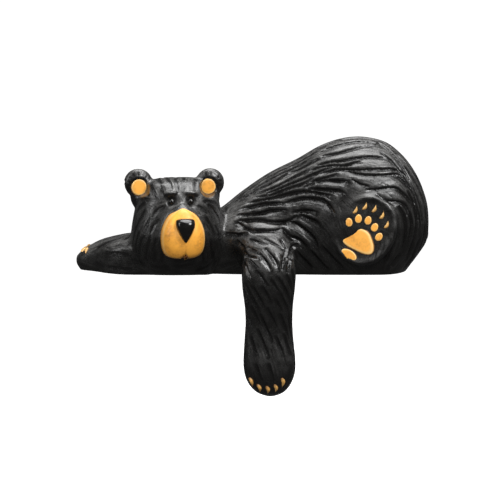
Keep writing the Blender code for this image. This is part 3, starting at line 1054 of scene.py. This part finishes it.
def claw_paint(settings):
    """Tan with brown left at the root of each claw."""
    material, tree, shader = paint_tree("claw paint")
    patches = spread(tree, noise(tree, 700, 3), 0.4, 0.7, 0, 0.5)
    base = mixed(tree, patches, tuple(settings.claw), tuple(settings.tan_wash))
    # The pale attribute lays a painted highlight of lighter tan down one side of each claw
    base = mixed(tree, attribute(tree, "pale"), base, tuple(settings.tan_highlight))
    colour = mixed(tree, attribute(tree, "wash"), base, tuple(settings.wash_edge))
    tree.links.new(colour, shader.inputs["Base Color"])
    tree.links.new(spread(tree, noise(tree, 900, 3), 0.3, 0.7, 0.3, 0.42), shader.inputs["Roughness"])
    bump(tree, shader, noise(tree, 1500, 3), 0.25, 0.0001)
    return material


# What a user would change


class BearForm(bpy.types.PropertyGroup):
    """Sizes of the small forms."""

    lock_depth: FloatProperty(
        name="Lock depth", description="Depth of the cuts between locks, as a factor", default=1.0, min=0
    )
    stroke_depth: FloatProperty(
        name="Stroke depth", description="Depth of the fine strokes, as a factor", default=1.0, min=0
    )
    eye_radius: FloatProperty(
        name="Eye radius", description="Radius of an eye's bead", default=1.75 * MM, unit="LENGTH", precision=5
    )
    ear_disc: FloatProperty(
        name="Ear disc", description="Radius of an ear's disc", default=4.3 * MM, unit="LENGTH", precision=5
    )
    claw_length: FloatProperty(
        name="Claw length", description="Length of a claw", default=4.2 * MM, unit="LENGTH", precision=5
    )


class BearPaint(bpy.types.PropertyGroup):
    """Colours of the paints."""

    black: FloatVectorProperty(
        name="Black", description="Ground coat of the fur", subtype="COLOR", default=(0.0045, 0.0042, 0.004)
    )
    # Grey over the ridges: partly dry-brushed paint, partly a painted highlight where the ridges look up
    dry_brush_and_highlight_grey: FloatVectorProperty(
        name="Brushed grey",
        description="Dry-brushed over the ridges",
        subtype="COLOR",
        default=(0.17, 0.168, 0.163),
    )
    tan: FloatVectorProperty(
        name="Tan", description="Muzzle, ears and pads", subtype="COLOR", default=(0.88, 0.4, 0.055)
    )
    # The lighter tan of the painted highlight along raised edges
    tan_highlight: FloatVectorProperty(
        name="Light tan", description="Along raised edges", subtype="COLOR", default=(0.95, 0.62, 0.24)
    )
    tan_wash: FloatVectorProperty(
        name="Tan wash", description="Patches of thin brown", subtype="COLOR", default=(0.52, 0.21, 0.035)
    )
    wash_edge: FloatVectorProperty(
        name="Edge wash",
        description="Brown that gathers at edges",
        subtype="COLOR",
        default=(0.12, 0.045, 0.01),
    )
    gloss_black: FloatVectorProperty(
        name="Gloss black", description="Nose and eyes", subtype="COLOR", default=(0.003, 0.0028, 0.0025)
    )
    claw: FloatVectorProperty(
        name="Claw", description="Claws of all paws", subtype="COLOR", default=(0.62, 0.36, 0.11)
    )


# Operators, one for each piece or group of like pieces


class BEAR_OT_coat(bpy.types.Operator):
    """Blocks in the bear, carves its fur and paints it black"""

    bl_idname = "bear.coat"
    bl_label = "Carved Coat"

    def execute(self, context):
        form = context.scene.bear_form
        skin = bear_skin()
        tree = skin_of(skin)
        cuts = Cuts(tree, LOCKS, 7)
        for where, places in MAIN_CUTS:
            cuts.follow(where, places)
        locks = cuts.draw_all(9000) + ear_notches(tree)
        strokes = Cuts(tree, STROKES, 11).draw_all(30000)
        lock_lines = line_mesh("lock_lines", locks, LOCKS, tree)
        stroke_lines = line_mesh("stroke_lines", strokes, STROKES, tree)
        finer = skin.modifiers.new("Finer", "SUBSURF")
        finer.levels = 1
        finer.render_levels = 1
        use_tree(
            skin,
            carving_tree(),
            {
                "Locks": lock_lines,
                "Strokes": stroke_lines,
                "Lock depth": form.lock_depth,
                "Stroke depth": form.stroke_depth,
                "Material": black_fur_paint(context.scene.bear_paint),
            },
        )
        coat = applied(skin)
        for lines in (lock_lines, stroke_lines):
            bpy.data.objects.remove(lines)
        fewer = coat.modifiers.new("Fewer faces", "DECIMATE")
        fewer.ratio = COAT_TRIANGLES / (2 * len(coat.data.polygons))
        block = shelf_block()
        cut = coat.modifiers.new("Shelf", "BOOLEAN")
        cut.object = block
        cut.solver = "MANIFOLD"
        coat = applied(coat)
        bpy.data.objects.remove(block)
        finished(coat, replaces=True)
        return {"FINISHED"}


def shelf_block():
    """The space of the shelf: everything behind its front face and under the seat."""
    shape = bmesh.new()
    bmesh.ops.create_cube(shape, size=1)
    low = Vector((-200, SHELF_EDGE, -120))
    high = Vector((200, 120, 0))
    for vertex in shape.verts:
        vertex.co = Vector(a + (b - a) * (c + 0.5) for a, b, c in zip(low, high, vertex.co)) * MM
    mesh = bpy.data.meshes.new("shelf_block")
    shape.to_mesh(mesh)
    shape.free()
    return new_object("shelf_block", mesh)


NOSE_TIP = 21.2
MIDLINE = 1.0  # how far aside of the face's middle the nose and the mouth are


def mouth_cut(up):
    """Half width and depth of the line between the lips at a height: a scratch at the nose, a notch below."""
    share = min(1, max(0, (NOSE_TIP - up) / (NOSE_TIP - 12.5)))
    return 0.55 + 1.9 * share**4, 0.15 + 1.7 * share**5


class BEAR_OT_muzzle(bpy.types.Operator):
    """Makes the tan egg of the muzzle with the line between its lips"""

    bl_idname = "bear.muzzle"
    bl_label = "Muzzle"

    def execute(self, context):
        stations = [
            (11.4, 6.2, 27, 8),
            (12.3, 8.6, 29.6, 8),
            (13.8, 10.3, 31.2, 8),
            (15.8, 11.3, 32.4, 8),
            (18.5, 12.0, 33.4, 8),
            (22, 12.3, 33.9, 8),
            (25.5, 12.1, 33.9, 8),
            (28.5, 11.4, 33.3, 8),
            (31.5, 10.2, 32.3, 8),
            (34, 8.7, 31.1, 8),
            (36, 7.0, 29.9, 8),
            (37.5, 5.2, 28.8, 8),
            (38.7, 3.0, 27.6, 8),
            (39.3, 1.2, 26.4, 8),
        ]
        egg = head_loft("muzzle", stations, 2.9, 6, 128, aside=0.45)
        remesh = egg.modifiers.new("Even", "REMESH")
        remesh.mode = "VOXEL"
        remesh.voxel_size = 0.4 * MM
        soft = egg.modifiers.new("Soft", "SMOOTH")
        soft.factor = 0.5
        soft.iterations = 6
        egg = applied(egg)
        _, forwards, _ = head_frame()
        wash, pale = [], []
        for vertex in egg.data.vertices:
            across, ahead, up = in_head(vertex.co / MM)
            wide, deep = mouth_cut(up)
            near = max(0, 1 - abs(across - MIDLINE) / wide) if up < NOSE_TIP + 1 and ahead > 15 else 0
            facing = vertex.normal.dot(forwards)
            vertex.co -= vertex.normal * deep * near**1.5 * MM
            wash.append(min(1, 0.45 * near * min(1, deep) + max(0, 0.1 - facing) * 8))
            # A painted highlight: pale along the muzzle's rounded edge, where it turns part way from the front
            pale.append(0.6 * max(0, 1 - abs(facing - 0.3) / 0.2))
        for word, values in (("wash", wash), ("pale", pale)):
            egg.data.attributes.new(word, "FLOAT", "POINT").data.foreach_set("value", values)
        egg.data.materials.append(tan_paint(context.scene.bear_paint))
        finished(egg)
        return {"FINISHED"}


class BEAR_OT_nose(bpy.types.Operator):
    """Makes the glossy drop of the nose"""

    bl_idname = "bear.nose"
    bl_label = "Nose"

    def execute(self, context):
        stations = [
            (34.2, 2.8, 33.6, 26),
            (33.5, 4.8, 35.4, 26),
            (31.9, 5.35, 36.9, 26),
            (29.4, 5.1, 37.5, 26),
            (26.6, 4.0, 37.1, 26),
            (23.8, 2.6, 36.3, 26),
            (NOSE_TIP, 0.8, 35, 26),
        ]
        drop = head_loft("nose", stations, 2.7, 6, 64, aside=1.1)
        remesh = drop.modifiers.new("Even", "REMESH")
        remesh.mode = "VOXEL"
        remesh.voxel_size = 0.25 * MM
        soft = drop.modifiers.new("Soft", "SMOOTH")
        soft.factor = 0.5
        soft.iterations = 10
        drop = applied(drop)
        drop.data.materials.append(gloss_black_paint(context.scene.bear_paint))
        finished(drop)
        return {"FINISHED"}


class BEAR_OT_eyes(bpy.types.Operator):
    """Makes the two glossy beads of the eyes"""

    bl_idname = "bear.eyes"
    bl_label = "Eyes"

    def execute(self, context):
        radius = context.scene.bear_form.eye_radius / MM
        beads = []
        for side in (-1, 1):
            centre = eye_centre(side) - head_frame()[1] * 1.0
            beads.append(ball("eye", centre, (radius, radius, radius), segments=40))
        eyes = joined("eyes", beads)
        eyes.data.materials.append(gloss_black_paint(context.scene.bear_paint))
        finished(eyes)
        return {"FINISHED"}


class BEAR_OT_ear_discs(bpy.types.Operator):
    """Makes the tan disc in the dish of each ear"""

    bl_idname = "bear.ear_discs"
    bl_label = "Ear Discs"

    def execute(self, context):
        radius = context.scene.bear_form.ear_disc / MM
        _, forwards, up = head_frame()
        coat = skin_of(bpy.data.objects["coat"])
        places = []
        for side in (-1, 1):
            centre = dish_centre(side)
            spot = coat.ray_cast((centre + forwards * 30) * MM, -forwards)[0] / MM
            places.append((spot, forwards, up, (1, 1.06, 1)))
        shape = domed_shape("disc", oval(radius, radius, count=56), 1.6, 0.75)
        paint = tan_paint(context.scene.bear_paint)
        finished(set_on_skin("ear_discs", places, shape, 1.0, paint))
        return {"FINISHED"}


def skin_of(thing):
    """A tree that finds places on a mesh."""
    places = [vertex.co for vertex in thing.data.vertices]
    return BVHTree.FromPolygons(places, [face.vertices[:] for face in thing.data.polygons])


# The rows of a cushion of paint: share of the outline, share of the height, brown wash, and pale edge, which is a
# painted highlight
CUSHION = [
    (1.09, None, 1, 0),
    (1.09, 0.02, 1, 0),
    (1.03, 0.12, 0.8, 0),
    (1.0, 0.3, 0.25, 0.5),
    (0.96, 0.72, 0, 0.9),
    (0.88, 0.95, 0, 0.5),
    (0.76, 1.0, 0, 0),
    (0.4, 1.06, 0, 0),
    (0.15, 1.08, 0, 0),
]


def domed_shape(name, outline, foot, height):
    """A low cushion of paint over a flat outline, with Z out of its seat and its foot below."""
    shape = bmesh.new()
    count = len(outline)
    rows = []
    for share, up, _, _ in CUSHION:
        level = -foot if up is None else up * height
        rows.append([shape.verts.new((x * share * MM, y * share * MM, level * MM)) for x, y in outline])
    for lower, upper in zip(rows, rows[1:]):
        for i in range(count):
            j = (i + 1) % count
            shape.faces.new((lower[i], lower[j], upper[j], upper[i]))
    shape.faces.new(rows[0][::-1])
    shape.faces.new(rows[-1])
    bmesh.ops.recalc_face_normals(shape, faces=shape.faces)
    mesh = bpy.data.meshes.new(name)
    shape.to_mesh(mesh)
    shape.free()
    for column, word in ((2, "wash"), (3, "pale")):
        values = [float(row[column]) for row in CUSHION for _ in range(count)]
        mesh.attributes.new(word, "FLOAT", "POINT").data.foreach_set("value", values)
    return new_object(name, mesh)


def oval(half_width, half_length, point=0.0, count=28):
    """An oval outline; point draws its far end in, as on an egg."""
    outline = []
    for i in range(count):
        angle = 2 * math.pi * i / count
        y = math.sin(angle)
        outline.append((half_width * math.cos(angle) * (1 - point * y), half_length * y))
    return outline


def broad_pad(half_width, half_length, count=48):
    """The ball of the foot: a broad rounded triangle, its top arched and its lower side almost straight."""
    outline = []
    for i in range(count):
        angle = 2 * math.pi * i / count
        c, s = math.cos(angle), math.sin(angle)
        lobes = 1 + 0.07 * math.cos(3 * (angle - math.pi / 2))
        x = half_width * math.copysign(abs(c) ** 0.85, c) * (1 - 0.2 * s)
        outline.append((x * lobes, half_length * math.copysign(abs(s) ** 0.9, s) * lobes))
    return outline


def claw_shape(name, length, width, height, bend):
    """A claw that lies along Y: a low crescent, fullest near its root and drawn to a point."""
    shape = bmesh.new()
    rings, around = 15, 12
    rows = []
    for k in range(rings):
        t = k / (rings - 1)
        fat = max(0.08, math.sin(math.pi * min(1, 0.12 + 0.92 * t**0.85))) ** 0.8
        aside = bend * width * (math.sin(math.pi * t) - 0.5)
        row = []
        for i in range(around):
            angle = 2 * math.pi * i / around
            x = aside + 0.5 * width * fat * math.cos(angle)
            row.append(shape.verts.new((x * MM, (t - 0.5) * length * MM, height * fat * math.sin(angle) * MM)))
        rows.append(row)
    for lower, upper in zip(rows, rows[1:]):
        for i in range(around):
            j = (i + 1) % around
            shape.faces.new((lower[i], lower[j], upper[j], upper[i]))
    shape.faces.new(rows[0])
    shape.faces.new(rows[-1])
    bmesh.ops.recalc_face_normals(shape, faces=shape.faces)
    mesh = bpy.data.meshes.new(name)
    shape.to_mesh(mesh)
    shape.free()
    spots = [(k / (rings - 1), 2 * math.pi * i / around) for k in range(rings) for i in range(around)]
    wash = [max(0.0, 0.9 - 5 * t, 0.25 - math.sin(angle)) for t, angle in spots]
    # A painted highlight: pale down one side of each claw
    pale = [abs(bend) * max(0.0, -math.copysign(1, bend) * math.cos(angle)) for _, angle in spots]
    for word, values in (("wash", wash), ("pale", pale)):
        mesh.attributes.new(word, "FLOAT", "POINT").data.foreach_set("value", values)
    return new_object(name, mesh)


# The sole's layout: distances across it towards the tail and along it towards the toes
TOES = [(-10.1, 0.2, -32), (-6.3, 4.3, -20), (-1.1, 5.8, -10), (3.9, 4.0, 0), (8.4, 0.3, 10)]
SOLE_CLAWS = [(-9.9, 7.9), (-6.1, 12.1), (-0.8, 13.2), (4.7, 11.8), (9.3, 8.3)]
BROAD_PAD = (-0.9, -6.4)
HEEL_PAD = (-2.2, -16.2)
HANGING_CLAWS = [(-16.2, -57.7), (-11.8, -61.1), (-7.1, -62.1), (-2.7, -61.2), (1.2, -57.6)]  # X and Z
SHELF_CLAWS = [(-112.2, -14.2), (-114.4, -10.6), (-115.4, -6), (-115.2, -1), (-113.6, 3.6)]  # X and Y


def sole_directions(side):
    outwards, up_sole, _ = sole_frame(side)
    tail_way = outwards.cross(up_sole)
    return outwards, up_sole, tail_way if tail_way.x > 0 else -tail_way


def on_sole(skin, side, across, along, turn=0.0):
    """A place on a sole, the way out of it, and the way to the toes turned by an angle."""
    outwards, up_sole, tail_way = sole_directions(side)
    place = sole_middle(side) + tail_way * across + up_sole * along
    spot = skin.ray_cast((place + outwards * 20) * MM, -outwards)[0] / MM
    angle = math.radians(turn)
    return spot, outwards, up_sole * math.cos(angle) + tail_way * math.sin(angle)


class BEAR_OT_pads(bpy.types.Operator):
    """Makes the tan pads of both soles: a broad pad, a heel pad and five toes each"""

    bl_idname = "bear.pads"
    bl_label = "Sole Pads"

    def execute(self, context):
        paint = tan_paint(context.scene.bear_paint)
        skin = skin_of(bpy.data.objects["coat"])
        sides = (-1, 1)
        toes = [(*on_sole(skin, side, *toe), (1, 1, 1)) for side in sides for toe in TOES]
        broad = [(*on_sole(skin, side, *BROAD_PAD), (1, 1, 1)) for side in sides]
        heels = [(*on_sole(skin, side, *HEEL_PAD, 4), (1, 1, 1)) for side in sides]
        groups = [
            set_on_skin("toes", toes, domed_shape("toe", oval(1.85, 2.35, 0.08), 1.2, 0.5), 1.0, paint),
            set_on_skin("broad", broad, domed_shape("broad_pad", broad_pad(9.2, 6.1), 1.2, 0.45), 1.0, paint),
            set_on_skin("heels", heels, domed_shape("heel_pad", oval(4.8, 2.6, 0.06, 40), 1.2, 0.42), 1.0, paint),
        ]
        pads = joined("sole_pads", groups)
        pads.data.materials.append(paint)
        finished(pads)
        return {"FINISHED"}


class BEAR_OT_claws(bpy.types.Operator):
    """Makes the small tan claws of the four paws"""

    bl_idname = "bear.claws"
    bl_label = "Claws"

    def execute(self, context):
        length = context.scene.bear_form.claw_length / MM
        skin = skin_of(bpy.data.objects["coat"])
        near = [(*on_sole(skin, -1, *claw), (0.95, 1.1, 1)) for claw in SOLE_CLAWS]
        other = [(*on_sole(skin, 1, *claw), (0.95, 1.1, 1)) for claw in SOLE_CLAWS]
        for x, z in HANGING_CLAWS:
            spot, normal, _, _ = skin.ray_cast(Vector((x, -100, z)) * MM, Vector((0, 1, 0)))
            other.append((spot / MM, normal, along_skin(Vector((0.1, 0, -1)), normal), (1.1, 1.35, 1.5)))
        for x, y in SHELF_CLAWS:
            spot, normal, _, _ = skin.ray_cast(Vector((x, y, 60)) * MM, Vector((0, 0, -1)))
            near.append((spot / MM, normal, along_skin(Vector((-1, 0.1 * y, 0)), normal), (0.9, 1, 1.2)))
        paint = claw_paint(context.scene.bear_paint)
        groups = [
            set_on_skin("claws_near", near, claw_shape("claw", length, 1.9, 0.8, 0.35), 1.0, paint),
            set_on_skin("claws_other", other, claw_shape("claw", length, 1.9, 0.8, -0.35), 1.0, paint),
        ]
        claws = joined("claws", groups)
        claws.data.materials.append(paint)
        finished(claws)
        return {"FINISHED"}


def along_skin(way, normal):
    return (way - normal * way.dot(normal)).normalized()


# The stage


PIXEL = 0.5675 * MM  # at the shelf's front edge
EDGE_PIXEL = (280, 275)  # where the photograph shows the shelf's edge at X = 0
IMAGE = 500
CAMERA_HEIGHT = 7.0  # degrees above level
LENS = 90.0
SENSOR = 36.0


def place_camera():
    """The photograph's view: level across, a little from above, and square to the shelf."""
    camera = bpy.data.objects.new("camera", bpy.data.cameras.new("camera"))
    bpy.context.scene.collection.objects.link(camera)
    camera.data.lens = LENS
    camera.data.sensor_width = SENSOR
    rise = math.radians(CAMERA_HEIGHT)
    away = IMAGE * PIXEL * LENS / SENSOR
    ahead = Vector((0, math.cos(rise), -math.sin(rise)))
    up = Vector((0, math.sin(rise), math.cos(rise)))
    left = (IMAGE / 2 - EDGE_PIXEL[0]) * PIXEL
    middle = Vector((left, SHELF_EDGE * MM, 0)) + up * (EDGE_PIXEL[1] - IMAGE / 2) * PIXEL
    camera.location = middle - ahead * away
    camera.rotation_mode = "QUATERNION"
    camera.rotation_quaternion = ahead.to_track_quat("-Z", "Y")
    bpy.context.scene.camera = camera


def softbox(name, place, aim, size, power, seen=True):
    light = bpy.data.objects.new(name, bpy.data.lights.new(name, "AREA"))
    bpy.context.scene.collection.objects.link(light)
    light.data.shape = "RECTANGLE"
    light.data.size, light.data.size_y = size
    light.data.energy = power
    light.visible_glossy = seen
    light.location = place
    light.rotation_mode = "QUATERNION"
    light.rotation_quaternion = (Vector(aim) - Vector(place)).to_track_quat("-Z", "Y")


def studio_room():
    """A pale floor that runs up into a round pale wall and ceiling."""
    floor, radius, height, sweep = -0.25, 3.0, 3.0, 0.8
    profile = [(0.0, floor)]
    for i in range(13):
        angle = math.pi / 2 * i / 12
        profile.append((radius - sweep + sweep * math.sin(angle), floor + sweep - sweep * math.cos(angle)))
    for i in range(13):
        angle = math.pi / 2 * i / 12
        out, rise = sweep * math.cos(angle), sweep * math.sin(angle)
        profile.append((radius - sweep + out, floor + height - sweep + rise))
    profile.append((0.0, floor + height))
    shape = bmesh.new()
    points = [shape.verts.new((x, 0, z)) for x, z in profile]
    edges = [shape.edges.new(pair) for pair in zip(points, points[1:])]
    bmesh.ops.spin(
        shape, geom=points + edges, cent=(0, 0, 0), axis=(0, 0, 1), angle=2 * math.pi, steps=64, use_merge=True
    )
    bmesh.ops.remove_doubles(shape, verts=shape.verts, dist=0.0001)
    bmesh.ops.recalc_face_normals(shape, faces=shape.faces)
    mesh = bpy.data.meshes.new("studio_room")
    shape.to_mesh(mesh)
    shape.free()
    room = new_object("studio_room", mesh)
    room.data.shade_smooth()
    material, tree, shader = paint_tree("pale backdrop")
    tone = mixed(tree, noise(tree, 2, 2), (0.86, 0.86, 0.855), (0.88, 0.88, 0.875))
    tree.links.new(tone, shader.inputs["Base Color"])
    value(shader, "Roughness", 0.9)
    value(shader, "Emission Color", (1, 1, 0.995, 1))
    value(shader, "Emission Strength", 0.85)
    room.data.materials.append(material)
    room.visible_glossy = False
    room.visible_diffuse = False
    room.visible_shadow = False
    return room


class BEAR_OT_stage(bpy.types.Operator):
    """Sets the pale room, the soft lights and the camera"""

    bl_idname = "bear.stage"
    bl_label = "Stage"

    def execute(self, context):
        studio_room()
        aim = (-0.01, 0, 0.01)
        softbox("top_light", (0.1, 0.1, 1.2), aim, (1.2, 0.8), 20)
        softbox("key_light", (0.7, -0.7, 0.9), aim, (0.45, 0.45), 13)
        softbox("side_light", (-1.0, -0.5, 0.6), aim, (0.3, 0.9), 4)
        softbox("front_fill", (-0.1, -1.1, 0.35), aim, (0.9, 0.7), 8, seen=False)
        world = bpy.data.worlds.new("studio")
        context.scene.world = world
        world.use_nodes = True
        back = world.node_tree.nodes["Background"]
        back.inputs["Color"].default_value = (1, 1, 1, 1)
        back.inputs["Strength"].default_value = 0.08
        context.scene.view_settings.view_transform = "Standard"
        place_camera()
        return {"FINISHED"}


class BEAR_PT_panel(bpy.types.Panel):
    """Lists the steps that make the bear"""

    bl_label = "Shelf Bear"
    bl_idname = "BEAR_PT_panel"
    bl_space_type = "VIEW_3D"
    bl_region_type = "UI"
    bl_category = "Bear"

    def draw(self, context):
        column = self.layout.column()
        for step in STEPS:
            column.operator(step.bl_idname)
        for group in (context.scene.bear_form, context.scene.bear_paint):
            for name in group.__annotations__:
                column.prop(group, name)


STEPS = (
    BEAR_OT_coat,
    BEAR_OT_muzzle,
    BEAR_OT_nose,
    BEAR_OT_eyes,
    BEAR_OT_ear_discs,
    BEAR_OT_pads,
    BEAR_OT_claws,
    BEAR_OT_stage,
)
CLASSES = (BearForm, BearPaint, *STEPS, BEAR_PT_panel)


def register():
    for made in CLASSES:
        bpy.utils.register_class(made)
    bpy.types.Scene.bear_form = PointerProperty(type=BearForm)
    bpy.types.Scene.bear_paint = PointerProperty(type=BearPaint)


def unregister():
    del bpy.types.Scene.bear_paint
    del bpy.types.Scene.bear_form
    for made in reversed(CLASSES):
        bpy.utils.unregister_class(made)


def main():
    register()
    for step in STEPS:
        group, name = step.bl_idname.split(".")
        getattr(getattr(bpy.ops, group), name)()


if __name__ == "__main__":
    main()
